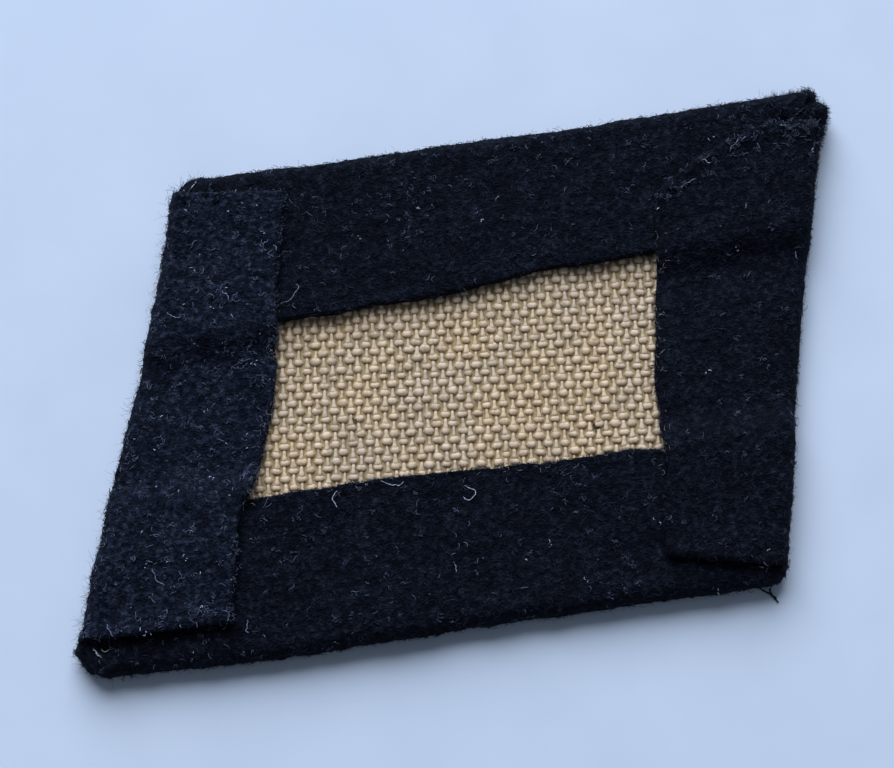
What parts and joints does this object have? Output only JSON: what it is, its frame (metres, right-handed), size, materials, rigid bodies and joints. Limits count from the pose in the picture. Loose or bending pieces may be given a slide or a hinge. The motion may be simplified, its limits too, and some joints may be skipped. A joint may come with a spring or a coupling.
{
  "type": "cloth collar patch",
  "caption": "Slanted cloth collar patch, back side up: dark wool felt turned in over a woven buckram stiffener and sewn at the corners.",
  "frame": {"origin": "bottom centre of the patch's box, on the front face that it lies on", "axes": "+X along the long edges, +Y from the bottom edge to the top edge, +Z out of the back"},
  "size_m": [0.0769, 0.048, 0.004],
  "materials": {
    "wool": "matt felted wool with a short loose nap",
    "buckram": "coarse sized plain weave, matt",
    "thread": "twisted sewing thread with a slight sheen"
  },
  "bodies": {
    "root": {"wool_face": "wool", "buckram": "buckram", "top_turn_in": "wool", "bottom_turn_in": "wool", "left_turn_in": "wool", "right_turn_in": "wool", "stitches_top_left": "thread", "stitches_top_right": "thread", "stitches_bottom_left": "thread", "stitches_bottom_right": "thread"}
  },
  "joints": []
}
